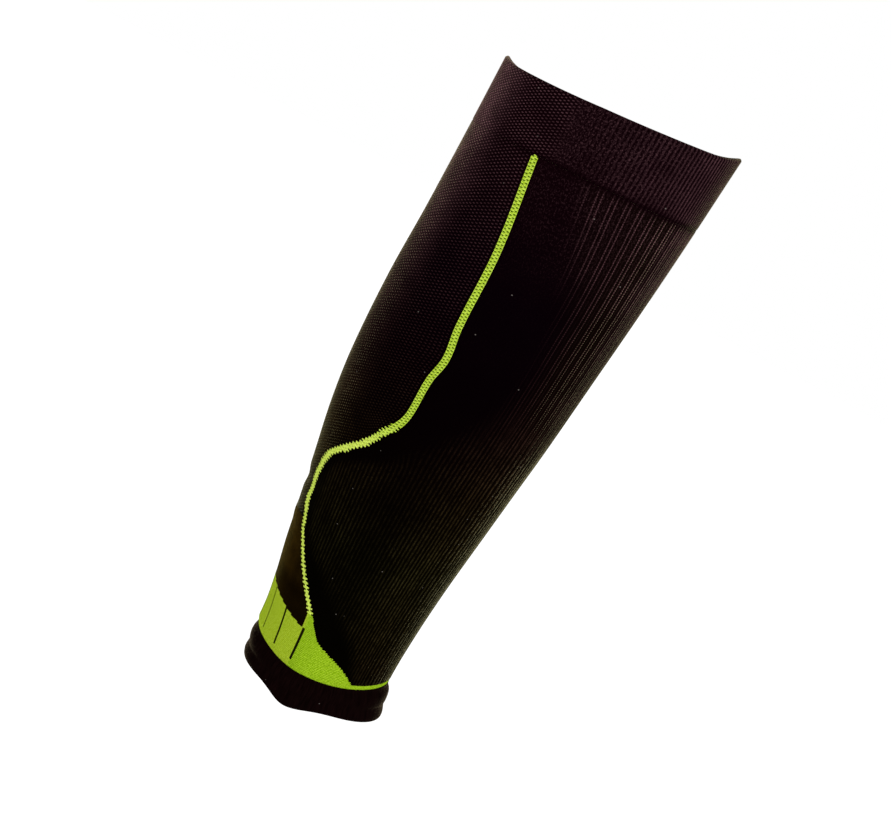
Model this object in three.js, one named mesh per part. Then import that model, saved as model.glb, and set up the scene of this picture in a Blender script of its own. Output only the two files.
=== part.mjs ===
// Calf compression sleeve, in the form that it takes on a leg: one knitted tube made of zones of different knit.
// Millimetres, +Z up the leg, shin toward -Y, calf toward +Y.
// The origin is on the leg's axis, at the calf's fullest level.
import * as THREE from "three";

// Sizes of the whole tube. Reaches are measured from the leg's axis at the calf's fullest level, and shares of the
// length count from the top edge's nominal level.
const SLEEVE_LENGTH = 322;
const CALF_REAR_REACH = 59;
const CALF_FRONT_REACH = 56;
const CALF_HALF_WIDTH = 57;
const WIDEST_BEHIND_AXIS = 3;
const CALF_LEVEL = 120;

// Walls of the knit, and the clear distance between two zones.
const KNIT_WALL = 1.2;
const WELT_WALL = 2.0;
const CUFF_WALL = 2.4;
const ZONE_GAP = 0.3;

// Top welt: its height at the rear and the front, and how far its two edges dip at the sides.
const WELT_REAR_HEIGHT = 33;
const WELT_FRONT_HEIGHT = 38;
const TOP_FRONT_RISE = 8.6;
const TOP_SIDE_DIP = 3;

// Peaks of the top edge on the creases behind and in front.
const TOP_PEAK = 2.6;
const TOP_PEAK_SHARPNESS = 16;

// Bottom cuff: where its edges run at the rear, the front and the sides, and how far it stands out from the tube.
const CUFF_TOP_ABOVE_END = 12;
const CUFF_TOP_FRONT_RISE = 2;
const CUFF_TOP_SIDE_DIP = 5.6;
const CUFF_HANG = 6.8;
const CUFF_EDGE_FRONT_RISE = 1.5;
const CUFF_REAR_REACH = 1;
const CUFF_FRONT_REACH = 5;

// Lobe of the cuff's edge at each side.
const CUFF_LOBE = 5;
const CUFF_LOBE_ANGLE = 87;
const CUFF_LOBE_HALF_ANGLE = 19;

// Coloured zones.
const RING_HEIGHT = 2.4;
const RING_WAIST = 1;
const STRIPE_WIDTH = 3.6;
const ANKLE_PANEL_REAR_HEIGHT = 25;
const ANKLE_PANEL_SIDE_HEIGHT = 18.5;
const FLANK_REACH_ANGLE = 51;

// Depth of the soft folds above the heel tendon.
const FOLD_DEPTH = 0.8;

// Sections, one row per level. down is the distance below the top edge as a share of the length.
// rear, front and side are shares of the reaches and of the half width.
const SECTIONS = [
  { down: 0.0, rear: 0.965, front: 1.2, side: 0.947 },
  { down: 0.12, rear: 0.97, front: 1.147, side: 0.965 },
  { down: 0.25, rear: 0.982, front: 1.08, side: 0.991 },
  { down: 0.37, rear: 1.003, front: 1.01, side: 1.0 },
  { down: 0.5, rear: 0.988, front: 0.933, side: 0.965 },
  { down: 0.59, rear: 0.939, front: 0.87, side: 0.912 },
  { down: 0.68, rear: 0.858, front: 0.808, side: 0.835 },
  { down: 0.76, rear: 0.79, front: 0.753, side: 0.755 },
  { down: 0.82, rear: 0.741, front: 0.719, side: 0.696 },
  { down: 0.88, rear: 0.68, front: 0.694, side: 0.636 },
  { down: 0.93, rear: 0.643, front: 0.681, side: 0.602 },
  { down: 1.0, rear: 0.63, front: 0.68, side: 0.598 },
];

// Middle line of a stripe. angle is in degrees from the rear centre, width a share of the stripe's width.
const STRIPE_PATH = [
  { down: 0.1, angle: 70.2, width: 1 },
  { down: 0.245, angle: 76.3, width: 1 },
  { down: 0.37, angle: 77.3, width: 1 },
  { down: 0.42, angle: 79, width: 1 },
  { down: 0.46, angle: 76.4, width: 0.97 },
  { down: 0.52, angle: 75.4, width: 0.93 },
  { down: 0.543, angle: 72.6, width: 1 },
  { down: 0.568, angle: 66.2, width: 0.9 },
  { down: 0.593, angle: 59.8, width: 0.9 },
  { down: 0.618, angle: 49.2, width: 0.9 },
  { down: 0.643, angle: 37.4, width: 1 },
  { down: 0.66, angle: 33.2, width: 1.15 },
  { down: 0.686, angle: 30.2, width: 1.15 },
  { down: 0.717, angle: 28.8, width: 1.2 },
  { down: 0.737, angle: 30.2, width: 1.15 },
  { down: 0.755, angle: 34, width: 0.75 },
  { down: 0.78, angle: 38.8, width: 0.6 },
  { down: 0.83, angle: 54, width: 0.55 },
  { down: 0.883, angle: 72.8, width: 0.6 },
];

// Front edge of an ankle flank. down is a share of the way from the foot of the stripe to the ring, forward a share
// of the flank's reach round the ankle.
const FLANK_EDGE = [
  { down: 0.0, forward: 0 },
  { down: 0.36, forward: 0.19 },
  { down: 0.48, forward: 0.31 },
  { down: 0.59, forward: 0.49 },
  { down: 0.79, forward: 0.79 },
  { down: 1.0, forward: 1 },
];

// Soft folds round the rear. press is a share of the fold depth, inward when positive.
const FOLDS = [
  { down: 0.71, press: 1.0, halfHeight: 0.022, halfAngle: 75 },
  { down: 0.77, press: -0.6, halfHeight: 0.02, halfAngle: 75 },
];

// Outer outline of the cuff. down is a share of its height, rear and front are shares of its reach there.
const CUFF_OUTLINE = [
  { down: 0.0, rear: -1.0, front: 0.05 },
  { down: 0.12, rear: -0.7, front: 0.14 },
  { down: 0.25, rear: 0.0, front: 0.5 },
  { down: 0.4, rear: 0.2, front: 0.64 },
  { down: 0.55, rear: -0.3, front: 0.68 },
  { down: 0.66, rear: -0.9, front: 0.66 },
  { down: 0.8, rear: -0.6, front: 0.82 },
  { down: 0.92, rear: -0.4, front: 0.97 },
  { down: 1.0, rear: -0.8, front: 1.0 },
];

// Where the zones end, as shares of the length.
const CALF_PANEL_END = 0.76;
const FLANK_TOP = 0.883;

// Rows of the walls: how many even rows lead down to each level, as a share of the length. Zones end on a level.
const ROW_BANDS = [
  { to: 0.53, rows: 12 },
  { to: CALF_PANEL_END, rows: 11 },
  { to: FLANK_TOP, rows: 6 },
  { to: 0.965, rows: 8 },
];

// Columns of the walls, rows of the welt and steps round a rim.
const RING_COLUMNS = 48;
const FRONT_COLUMNS = 22;
const CALF_COLUMNS = 14;
const ACHILLES_COLUMNS = 12;
const ANKLE_COLUMNS = 16;
const FLANK_COLUMNS = 4;
const WELT_ROWS = 4;
const RIM_STEPS = 4;
const SETTLING_STEPS = 12;
const LEAST_ROW_SHARE = 0.01;

const { clamp, lerp, degToRad } = THREE.MathUtils;

const MATERIALS = {
  dark: new THREE.MeshStandardMaterial({ name: "dark_knit", color: "#2a2027", roughness: 0.95 }),
  jersey: new THREE.MeshStandardMaterial({ name: "dark_jersey", color: "#2c2422", roughness: 0.95 }),
  lime: new THREE.MeshStandardMaterial({ name: "lime_knit", color: "#a6c81f", roughness: 0.9 }),
};

// Value of a table's column at a place, on a smooth curve through the rows and straight beyond them.
function readTable(rows, column, at) {
  const last = rows.length - 1;
  const slope = (i) => {
    const low = rows[Math.max(i - 1, 0)];
    const high = rows[Math.min(i + 1, last)];
    return (high[column] - low[column]) / (high.down - low.down);
  };
  if (at <= rows[0].down) return rows[0][column] + slope(0) * (at - rows[0].down);
  if (at >= rows[last].down) return rows[last][column] + slope(last) * (at - rows[last].down);
  const i = rows.findIndex((row) => row.down > at) - 1;
  const span = rows[i + 1].down - rows[i].down;
  const x = (at - rows[i].down) / span;
  const bend = x * x * (3 - 2 * x);
  const leave = x * (1 - x) * (1 - x) * span;
  const arrive = x * x * (x - 1) * span;
  return lerp(rows[i][column], rows[i + 1][column], bend) + leave * slope(i) + arrive * slope(i + 1);
}

// How far the folds press the outer face inward at a place.
function foldPress(angle, down) {
  return FOLDS.reduce((sum, fold) => {
    const round = clamp(Math.abs(angle) / fold.halfAngle, 0, 1);
    const along = clamp(Math.abs(down - fold.down) / fold.halfHeight, 0, 1);
    const share = Math.cos((round * Math.PI) / 2) ** 2 * Math.cos((along * Math.PI) / 2) ** 2;
    return sum + fold.press * FOLD_DEPTH * share;
  }, 0);
}

// A point of the tube: angle in degrees from the rear centre, depth below the top edge, inset from the outer face.
function tubePoint(angle, depth, inset) {
  const down = depth / SLEEVE_LENGTH;
  const behindAxis = Math.abs(((angle + 180) % 360) - 180);
  const cut = inset + foldPress(behindAxis, down);
  const cosine = Math.cos(degToRad(angle));
  const rear = CALF_REAR_REACH * readTable(SECTIONS, "rear", down) - cut - WIDEST_BEHIND_AXIS;
  const front = CALF_FRONT_REACH * readTable(SECTIONS, "front", down) - cut + WIDEST_BEHIND_AXIS;
  const side = CALF_HALF_WIDTH * readTable(SECTIONS, "side", down) - cut;
  const y = WIDEST_BEHIND_AXIS + (cosine > 0 ? rear : front) * cosine;
  return new THREE.Vector3(-side * Math.sin(degToRad(angle)), y, CALF_LEVEL - depth);
}

// Length of the outer face that one degree covers.
function lengthPerDegree(angle, depth) {
  const halfDegree = 0.5;
  return tubePoint(angle - halfDegree, depth, 0).distanceTo(tubePoint(angle + halfDegree, depth, 0));
}

// Depth of an edge that runs round the tube.
function edgeDepth(angle, rearDepth, frontRise, sideDip) {
  const cosine = Math.cos(degToRad(angle));
  return rearDepth - (frontRise * (1 - cosine)) / 2 + sideDip * (1 - cosine * cosine);
}

const frontShare = (angle) => (1 - Math.cos(degToRad(angle))) / 2;

// Top edge, with its peaks behind and in front.
function topEdge(angle) {
  const peak = TOP_PEAK * Math.cos(degToRad(angle)) ** TOP_PEAK_SHARPNESS;
  return edgeDepth(angle, 0, TOP_FRONT_RISE, TOP_SIDE_DIP) - peak;
}

// Lower edge of the cuff, with its lobe at each side.
function cuffEdge(angle) {
  const behind = Math.abs(((angle + 180) % 360) - 180);
  const lobe = CUFF_LOBE * Math.exp(-(((behind - CUFF_LOBE_ANGLE) / CUFF_LOBE_HALF_ANGLE) ** 2));
  return edgeDepth(angle, SLEEVE_LENGTH + CUFF_HANG, CUFF_EDGE_FRONT_RISE, 0) + lobe;
}

const weltSeam = (angle) =>
  edgeDepth(angle, WELT_REAR_HEIGHT, WELT_REAR_HEIGHT + TOP_FRONT_RISE - WELT_FRONT_HEIGHT, 0);
const cuffSeam = (angle) =>
  edgeDepth(angle, SLEEVE_LENGTH - CUFF_TOP_ABOVE_END, CUFF_TOP_FRONT_RISE, CUFF_TOP_SIDE_DIP);
const ringSeam = (angle) => cuffSeam(angle) - RING_HEIGHT;
const calfPanelEnd = () => CALF_PANEL_END * SLEEVE_LENGTH;
const flankTop = () => FLANK_TOP * SLEEVE_LENGTH;

// Upper edge of the ankle panel, taller at the rear than at the sides.
function anklePanelTop(angle) {
  const rearShare = Math.cos(degToRad(angle)) ** 2;
  return ringSeam(angle) - lerp(ANKLE_PANEL_SIDE_HEIGHT, ANKLE_PANEL_REAR_HEIGHT, rearShare);
}

// Angle of a line that runs beside a course of angles, at a distance along the wall and square to the course.
function beside(course, depth, distance) {
  const angle = course(depth);
  const perDegree = lengthPerDegree(angle, depth);
  const turn = (course(depth + 1) - angle) * perDegree;
  return angle + (distance * Math.hypot(1, turn)) / perDegree;
}

// Angle of the stripe's edge, or of a line beyond it. side is 1 for the edge toward the shin and -1 for the other.
function besideStripe(depth, side, beyond) {
  const halfWidth = (STRIPE_WIDTH * readTable(STRIPE_PATH, "width", depth / SLEEVE_LENGTH)) / 2;
  const middle = (at) => readTable(STRIPE_PATH, "angle", at / SLEEVE_LENGTH);
  return beside(middle, depth, side * (halfWidth + beyond));
}

// Angle of the flank's front edge, from the foot of the stripe to the ring.
function flankFront(depth) {
  const start = besideStripe(flankTop(), 1, 0);
  const foot = ringSeam(start + FLANK_REACH_ANGLE);
  const share = (depth - flankTop()) / (foot - flankTop());
  return start + FLANK_REACH_ANGLE * readTable(FLANK_EDGE, "forward", share);
}

// Line along the front of the stripe and then of the flank, at a distance beyond it.
function frontLine(depth, beyond) {
  return depth < flankTop() ? besideStripe(depth, 1, beyond) : beside(flankFront, depth, beyond);
}

// Line along the rear of the stripe and then straight down the rear of the flank, at a distance behind it.
function rearLine(depth, beyond) {
  return besideStripe(Math.min(depth, flankTop()), -1, beyond);
}

// Row levels that all the zones share, so that neighbours turn at the same depths.
function rowDepths() {
  const depths = [];
  let from = 0;
  for (const band of ROW_BANDS) {
    for (let row = 1; row <= band.rows; row += 1) {
      depths.push(lerp(from, band.to, row / band.rows) * SLEEVE_LENGTH);
    }
    from = band.to;
  }
  return depths;
}

// Adds the two triangles of a four-cornered face.
function addFace(triangles, a, b, c, d) {
  triangles.push(a, b, c, a, c, d);
}

function toMesh(name, material, points, triangles) {
  const geometry = new THREE.BufferGeometry();
  geometry.setAttribute("position", new THREE.Float32BufferAttribute(points.flatMap((p) => p.toArray()), 3));
  geometry.setIndex(triangles);
  geometry.computeVertexNormals();
  const mesh = new THREE.Mesh(geometry, material);
  mesh.name = name;
  return mesh;
}

// Shares of a zone's height at which its rows lie, so that they meet the shared row levels along its right side.
function rowShares(top, bottom, right) {
  const shares = rowDepths().map((depth) => {
    const angle = right(depth);
    return (depth - top(angle)) / (bottom(angle) - top(angle));
  });
  return [0, ...shares.filter((share) => share > LEAST_ROW_SHARE && share < 1 - LEAST_ROW_SHARE), 1];
}

// A zone of the wall with four edges. top and bottom give depths by angle, left and right give angles by depth.
function makeZone(name, material, { top, bottom, left, right, columns }) {
  const settle = (share, across) => {
    let depth = lerp(top(0), bottom(0), share);
    let angle = 0;
    for (let i = 0; i < SETTLING_STEPS; i += 1) {
      angle = lerp(left(depth), right(depth), across);
      depth = lerp(top(angle), bottom(angle), share);
    }
    return { angle, depth };
  };
  const shares = rowShares(top, bottom, right);
  const points = [];
  for (const inset of [0, KNIT_WALL]) {
    for (const share of shares) {
      for (let column = 0; column <= columns; column += 1) {
        const { angle, depth } = settle(share, column / columns);
        points.push(tubePoint(angle, depth, inset));
      }
    }
  }
  const rows = shares.length - 1;
  const layer = (rows + 1) * (columns + 1);
  const at = (row, column) => row * (columns + 1) + column;
  const triangles = [];
  for (let row = 0; row < rows; row += 1) {
    for (let column = 0; column < columns; column += 1) {
      const corners = [at(row, column), at(row + 1, column), at(row + 1, column + 1), at(row, column + 1)];
      addFace(triangles, ...corners);
      addFace(triangles, ...corners.reverse().map((corner) => corner + layer));
    }
  }
  const closeEdge = (from, to) => addFace(triangles, to, from, from + layer, to + layer);
  for (let row = 0; row < rows; row += 1) {
    closeEdge(at(row, 0), at(row + 1, 0));
    closeEdge(at(row + 1, columns), at(row, columns));
  }
  for (let column = 0; column < columns; column += 1) {
    closeEdge(at(rows, column), at(rows, column + 1));
    closeEdge(at(0, column + 1), at(0, column));
  }
  return toMesh(name, material, points, triangles);
}

// A closed ring swept round the tube. outline gives the depths and insets of its loop at an angle, starting down
// the outer face.
function makeRing(name, material, outline) {
  const points = [];
  const triangles = [];
  const count = outline(0).length;
  for (let column = 0; column < RING_COLUMNS; column += 1) {
    const angle = (360 * column) / RING_COLUMNS;
    for (const { depth, inset } of outline(angle)) points.push(tubePoint(angle, depth, inset));
  }
  for (let column = 0; column < RING_COLUMNS; column += 1) {
    const here = column * count;
    const next = ((column + 1) % RING_COLUMNS) * count;
    for (let i = 0; i < count; i += 1) {
      const j = (i + 1) % count;
      addFace(triangles, here + i, here + j, next + j, next + i);
    }
  }
  return toMesh(name, material, points, triangles);
}

// Points round a folded rim, from one face of the wall to the other. away is -1 for a rim at the top.
function rimPoints(depth, outerInset, innerInset, away) {
  const radius = (innerInset - outerInset) / 2;
  const points = [];
  for (let i = 1; i < RIM_STEPS; i += 1) {
    const turn = (Math.PI * i) / RIM_STEPS;
    points.push({
      depth: depth - away * radius * (1 - Math.sin(turn)),
      inset: outerInset + radius * (1 - Math.cos(turn)),
    });
  }
  return away < 0 ? points.reverse() : points;
}

function topWelt() {
  return makeRing("top_welt", MATERIALS.dark, (angle) => {
    const start = topEdge(angle) + WELT_WALL / 2;
    const end = weltSeam(angle) - ZONE_GAP;
    const levels = Array.from({ length: WELT_ROWS + 1 }, (_, row) => lerp(start, end, row / WELT_ROWS));
    const outer = levels.map((depth) => ({ depth, inset: 0 }));
    const inner = levels.map((depth) => ({ depth, inset: WELT_WALL })).reverse();
    return [...outer, ...inner, ...rimPoints(topEdge(angle), 0, WELT_WALL, -1)];
  });
}

function bottomCuff() {
  return makeRing("bottom_cuff", MATERIALS.dark, (angle) => {
    const start = cuffSeam(angle);
    const end = cuffEdge(angle) - CUFF_WALL / 2;
    const outer = CUFF_OUTLINE.map((row) => ({
      depth: lerp(start, end, row.down),
      inset: -lerp(CUFF_REAR_REACH * row.rear, CUFF_FRONT_REACH * row.front, frontShare(angle)),
      down: row.down,
    }));
    const topInset = outer[0].inset;
    const rimInset = outer[outer.length - 1].inset;
    const inner = outer.map(({ depth, down }) => ({
      depth,
      inset: lerp(topInset + KNIT_WALL, rimInset + CUFF_WALL, down),
    }));
    return [...outer, ...rimPoints(cuffEdge(angle), rimInset, rimInset + CUFF_WALL, 1), ...inner.reverse()];
  });
}

function ankleRing() {
  return makeRing("ankle_ring", MATERIALS.lime, (angle) => {
    const start = ringSeam(angle);
    const end = cuffSeam(angle) - ZONE_GAP;
    const waist = lerp(RING_WAIST, 0, frontShare(angle));
    return [
      { depth: start, inset: 0 },
      { depth: end, inset: waist },
      { depth: end, inset: waist + KNIT_WALL },
      { depth: start, inset: KNIT_WALL },
    ];
  });
}

function calfPanel() {
  return makeZone("calf_panel", MATERIALS.dark, {
    top: weltSeam,
    bottom: () => calfPanelEnd() - ZONE_GAP,
    left: (depth) => -rearLine(depth, ZONE_GAP),
    right: (depth) => rearLine(depth, ZONE_GAP),
    columns: CALF_COLUMNS,
  });
}

function achillesPanel() {
  return makeZone("achilles_panel", MATERIALS.jersey, {
    top: calfPanelEnd,
    bottom: (angle) => anklePanelTop(angle) - ZONE_GAP,
    left: (depth) => -rearLine(depth, ZONE_GAP),
    right: (depth) => rearLine(depth, ZONE_GAP),
    columns: ACHILLES_COLUMNS,
  });
}

function frontPanel() {
  return makeZone("front_panel", MATERIALS.dark, {
    top: weltSeam,
    bottom: (angle) => ringSeam(angle) - ZONE_GAP,
    left: (depth) => frontLine(depth, ZONE_GAP),
    right: (depth) => 360 - frontLine(depth, ZONE_GAP),
    columns: FRONT_COLUMNS,
  });
}

function anklePanel() {
  return makeZone("ankle_panel", MATERIALS.lime, {
    top: anklePanelTop,
    bottom: (angle) => ringSeam(angle) - ZONE_GAP,
    left: (depth) => -rearLine(Math.max(depth, flankTop()), ZONE_GAP),
    right: (depth) => rearLine(Math.max(depth, flankTop()), ZONE_GAP),
    columns: ANKLE_COLUMNS,
  });
}

// A zone on both sides of the leg: the one on the wearer's right, and its mirror image on the left.
function bothSides(name, material, { top, bottom, left, right, columns }) {
  const mirrored = {
    top: (angle) => top(-angle),
    bottom: (angle) => bottom(-angle),
    left: (depth) => -right(depth),
    right: (depth) => -left(depth),
    columns,
  };
  return [
    makeZone(`${name}_right`, material, { top, bottom, left, right, columns }),
    makeZone(`${name}_left`, material, mirrored),
  ];
}

function stripes() {
  return bothSides("stripe", MATERIALS.lime, {
    top: weltSeam,
    bottom: () => flankTop() - ZONE_GAP,
    left: (depth) => besideStripe(depth, -1, 0),
    right: (depth) => besideStripe(depth, 1, 0),
    columns: 1,
  });
}

function ankleFlanks() {
  return bothSides("ankle_flank", MATERIALS.lime, {
    top: flankTop,
    bottom: (angle) => ringSeam(angle) - ZONE_GAP,
    left: (depth) => rearLine(Math.max(depth, flankTop()), 0),
    right: (depth) => frontLine(Math.max(depth, flankTop()), 0),
    columns: FLANK_COLUMNS,
  });
}

const sleeve = new THREE.Group();
sleeve.name = "calf_compression_sleeve";
sleeve.add(topWelt(), calfPanel(), achillesPanel(), frontPanel(), ...stripes());
sleeve.add(anklePanel(), ...ankleFlanks(), ankleRing(), bottomCuff());

export default sleeve;
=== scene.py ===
# Looks of the calf compression sleeve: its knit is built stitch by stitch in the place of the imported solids.
# Sizes are millimetres in the sleeve's own frame. +Z runs up the leg, and the calf is toward +Y.
# An angle is in degrees from the rear centre, positive toward -X. A depth is the distance below the top edge.
import math

import bpy
import numpy as np
from mathutils import Matrix, Vector

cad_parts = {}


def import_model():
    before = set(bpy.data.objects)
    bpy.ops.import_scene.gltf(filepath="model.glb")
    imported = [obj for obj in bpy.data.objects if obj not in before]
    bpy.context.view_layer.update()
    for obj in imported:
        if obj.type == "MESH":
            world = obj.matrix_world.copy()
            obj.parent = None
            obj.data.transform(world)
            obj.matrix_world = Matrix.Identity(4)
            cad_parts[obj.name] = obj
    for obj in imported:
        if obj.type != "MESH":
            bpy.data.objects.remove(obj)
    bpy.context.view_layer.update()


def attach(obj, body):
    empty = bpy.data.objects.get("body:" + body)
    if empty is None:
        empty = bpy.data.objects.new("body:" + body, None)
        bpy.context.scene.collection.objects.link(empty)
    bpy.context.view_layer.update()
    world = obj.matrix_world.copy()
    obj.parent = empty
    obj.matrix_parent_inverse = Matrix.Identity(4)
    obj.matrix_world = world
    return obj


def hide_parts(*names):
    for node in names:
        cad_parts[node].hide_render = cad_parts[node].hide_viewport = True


METRES = 0.001

# Sizes of the whole tube, as in the solids.
SLEEVE_LENGTH = 322
CALF_REAR_REACH = 59
CALF_FRONT_REACH = 56
CALF_HALF_WIDTH = 57
WIDEST_BEHIND_AXIS = 3
CALF_LEVEL = 120

# Walls of the knit.
KNIT_WALL = 1.2
WELT_WALL = 2.0
CUFF_WALL = 2.4

# Top welt: its height at the rear and the front, how far its edge dips at the sides, and its peaks on the
# creases behind and in front.
WELT_REAR_HEIGHT = 33
WELT_FRONT_HEIGHT = 38
TOP_FRONT_RISE = 8.6
TOP_SIDE_DIP = 3
TOP_PEAK = 2.6
TOP_PEAK_SHARPNESS = 16

# Bottom cuff: where its edges run at the rear, the front and the sides, and how far it stands out from the
# tube.
CUFF_TOP_ABOVE_END = 12
CUFF_TOP_FRONT_RISE = 2
CUFF_TOP_SIDE_DIP = 5.6
CUFF_HANG = 6.8
CUFF_EDGE_FRONT_RISE = 1.5
CUFF_REAR_REACH = 1
CUFF_FRONT_REACH = 5

# Lobe of the cuff's edge at each side.
CUFF_LOBE = 5
CUFF_LOBE_ANGLE = 87
CUFF_LOBE_HALF_ANGLE = 19

# Coloured zones.
RING_HEIGHT = 2.4
RING_WAIST = 1
STRIPE_WIDTH = 3.6
ANKLE_PANEL_REAR_HEIGHT = 25
ANKLE_PANEL_SIDE_HEIGHT = 18.5
FLANK_REACH_ANGLE = 51
CALF_PANEL_END = 0.76
FLANK_TOP = 0.883
FLANK_TOP_DEPTH = FLANK_TOP * SLEEVE_LENGTH

# Depth of the soft folds above the heel tendon.
FOLD_DEPTH = 0.8

# Sections: share of the length below the top edge, then shares of the rear reach, front reach and half width.
SECTIONS = np.array([
    (0.0, 0.965, 1.2, 0.947),
    (0.12, 0.97, 1.147, 0.965),
    (0.25, 0.982, 1.08, 0.991),
    (0.37, 1.003, 1.01, 1.0),
    (0.5, 0.988, 0.933, 0.965),
    (0.59, 0.939, 0.87, 0.912),
    (0.68, 0.858, 0.808, 0.835),
    (0.76, 0.79, 0.753, 0.755),
    (0.82, 0.741, 0.719, 0.696),
    (0.88, 0.68, 0.694, 0.636),
    (0.93, 0.643, 0.681, 0.602),
    (1.0, 0.63, 0.68, 0.598),
])
REAR, FRONT, SIDE = 1, 2, 3

# Middle line of a stripe: share of the length, angle, and share of the stripe's width.
STRIPE_PATH = np.array([
    (0.1, 70.2, 1),
    (0.245, 76.3, 1),
    (0.37, 77.3, 1),
    (0.42, 79, 1),
    (0.46, 76.4, 0.97),
    (0.52, 75.4, 0.93),
    (0.543, 72.6, 1),
    (0.568, 66.2, 0.9),
    (0.593, 59.8, 0.9),
    (0.618, 49.2, 0.9),
    (0.643, 37.4, 1),
    (0.66, 33.2, 1.15),
    (0.686, 30.2, 1.15),
    (0.717, 28.8, 1.2),
    (0.737, 30.2, 1.15),
    (0.755, 34, 0.75),
    (0.78, 38.8, 0.6),
    (0.83, 54, 0.55),
    (0.883, 72.8, 0.6),
])
STRIPE_ANGLE, STRIPE_SHARE = 1, 2

# Front edge of an ankle flank: share of the way down to the ring, and share of the flank's reach forward.
FLANK_EDGE = np.array([
    (0.0, 0),
    (0.36, 0.19),
    (0.48, 0.31),
    (0.59, 0.49),
    (0.79, 0.79),
    (1.0, 1),
])
FLANK_FORWARD = 1

# Soft folds round the rear: share of the length, press inward as a share of the fold depth, half height and
# half angle.
FOLDS = [
    (0.71, 1.0, 0.022, 75),
    (0.77, -0.6, 0.02, 75),
]

# Outline of the cuff: share of its height, then shares of its reaches at the rear and the front.
CUFF_OUTLINE = np.array([
    (0.0, -1.0, 0.05),
    (0.12, -0.7, 0.14),
    (0.25, 0.0, 0.5),
    (0.4, 0.2, 0.64),
    (0.55, -0.3, 0.68),
    (0.66, -0.9, 0.66),
    (0.8, -0.6, 0.82),
    (0.92, -0.4, 0.97),
    (1.0, -0.8, 1.0),
])
CUFF_REAR, CUFF_FRONT = 1, 2

# The stitches: how many go round the tube, and the height of a course by share of the length. The stripe is
# knitted about one column of stitches, down to where it leaves it.
STITCHES_ROUND = 348
COURSE_HEIGHTS = np.array([
    (0.1, 0.84),
    (0.33, 0.79),
    (0.5, 0.73),
    (0.7, 0.77),
    (1.0, 0.84),
])
COURSE_HEIGHT = 1
STRIPE_COLUMN = 72
STRIPE_HALF_COLUMNS = 2
STRIPE_LEAVES_COLUMNS = 0.535
STRIPE_IS_FREE = 0.6

# Away from the stripes, the lines of stitches turn back to even ones between these shares of the length. Near
# and far count the columns from the middle of the stripe.
LINES_TURN = 0.37
LINES_ARE_EVEN = 0.62
NEAR_STRIPE = 4
FAR_FROM_STRIPE = 22

# The upper end of a stripe is rounded over this height, and narrowed by this share of its width.
STRIPE_END_ROUNDING = 2.4
STRIPE_END_NARROWING = 0.8

# The lines of stitches spread outward over the ankle: by how many degrees, from which depth, over which
# height, up to which share of the spread below that, and up to which angle.
ANKLE_SPREAD = 4.2
ANKLE_SPREAD_TOP = 284
ANKLE_SPREAD_HEIGHT = 22
ANKLE_SPREAD_MOST = 1.2
ANKLE_SPREAD_REACH = 80

# Teeth along the stripe's edges: how far every second course reaches out.
TOOTH = 1.0

# Patterns of the knit, as periods in stitches across and in courses along: pin dots, ribs, pairs of ribs, the
# beads on them, the low ribs and the raised stitches of the lime knit. A crest is the column of a first top.
DOT_COLUMNS = 4
DOT_COURSES = 2
RIB_COLUMNS = 2
RIB_CREST = 1
PAIR_COLUMNS = 6
PAIR_CREST = 2
BEAD_COURSES = 1.43
LOW_RIB_COLUMNS = 2.4
WIDE_RIB_COLUMNS = 3.6
LIME_COLUMNS = 2
LIME_COURSES = 2
STRIPE_HOLE_CREST = STRIPE_COLUMN + 1
STITCH_MIDDLE = 0.5

# The low ribs are wider from here on round the front, in stitches from the rear centre.
WIDE_RIBS_START = 129.6

# The low ribs take the place of the upper ones between these shares of the length.
UPPER_RIBS_END = 0.42
LOW_RIBS_START = 0.54

# The lime block reaches above the flanks this many stitches to either side of the rear centre, by this share.
BLOCK_CROWN = 40
BLOCK_CROWN_RISE = 0.03

# Dark lines down the lime ankle: stitches from the rear centre, half of the width in stitches, and how far
# above the ring they begin. They stop short of the ring, and the last one ends the pale block.
ANKLE_LINES = [
    (8.7, 0.65, 30),
    (26.9, 0.6, 30),
    (47.5, 0.95, 30),
    (69.9, 1.25, 19.5),
]
ANKLE_LINES_STOP = 1.6
LINE_SOFTNESS = 0.25
PALE_BLOCK_SOFTNESS = 1

# Pin dots in the welt end at this angle, and the dots fade over these angles in the welt and below it.
WELT_DOTS_END = 72
WELT_DOTS_FADE = 12
BODY_DOTS_FADE = 0.5

# Where the ribs of the front begin: share of the length, angle, and the angle over which they fade in.
RIB_START = np.array([
    (0.1, 90, 14),
    (0.25, 104, 16),
    (0.36, 112, 18),
    (0.46, 106, 18),
    (0.53, 92, 18),
    (0.6, 70, 16),
    (0.66, 38, 10),
    (0.76, 38, 12),
    (0.79, 48, 16),
    (0.84, 72, 18),
    (0.915, 108, 18),
    (0.97, 122, 16),
])
RIB_ANGLE, RIB_BLUR = 1, 2

# Heights of the knit's relief, shares of a rib's height in the welt and between the pairs of ribs, and the
# height at which the wave over a pair is cut flat.
DOT_RELIEF = 0.2
RIB_RELIEF = 0.22
LIME_RELIEF = 0.08
WELT_RIB_SHARE = 0.6
LONE_RIB_SHARE = 0.35
PAIR_CUT = 1.5

# The welt stands out by this much, down to a groove along its seam.
WELT_PROUD = 0.1
SEAM_GROOVE = 0.3
SEAM_GROOVE_HALF_HEIGHT = 0.7

# Width of the dark stitches along the lime, and half height of the dark band at the welt's seam.
BORDER_WIDTH = 1.2
WELT_BAND = 2.0

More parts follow.
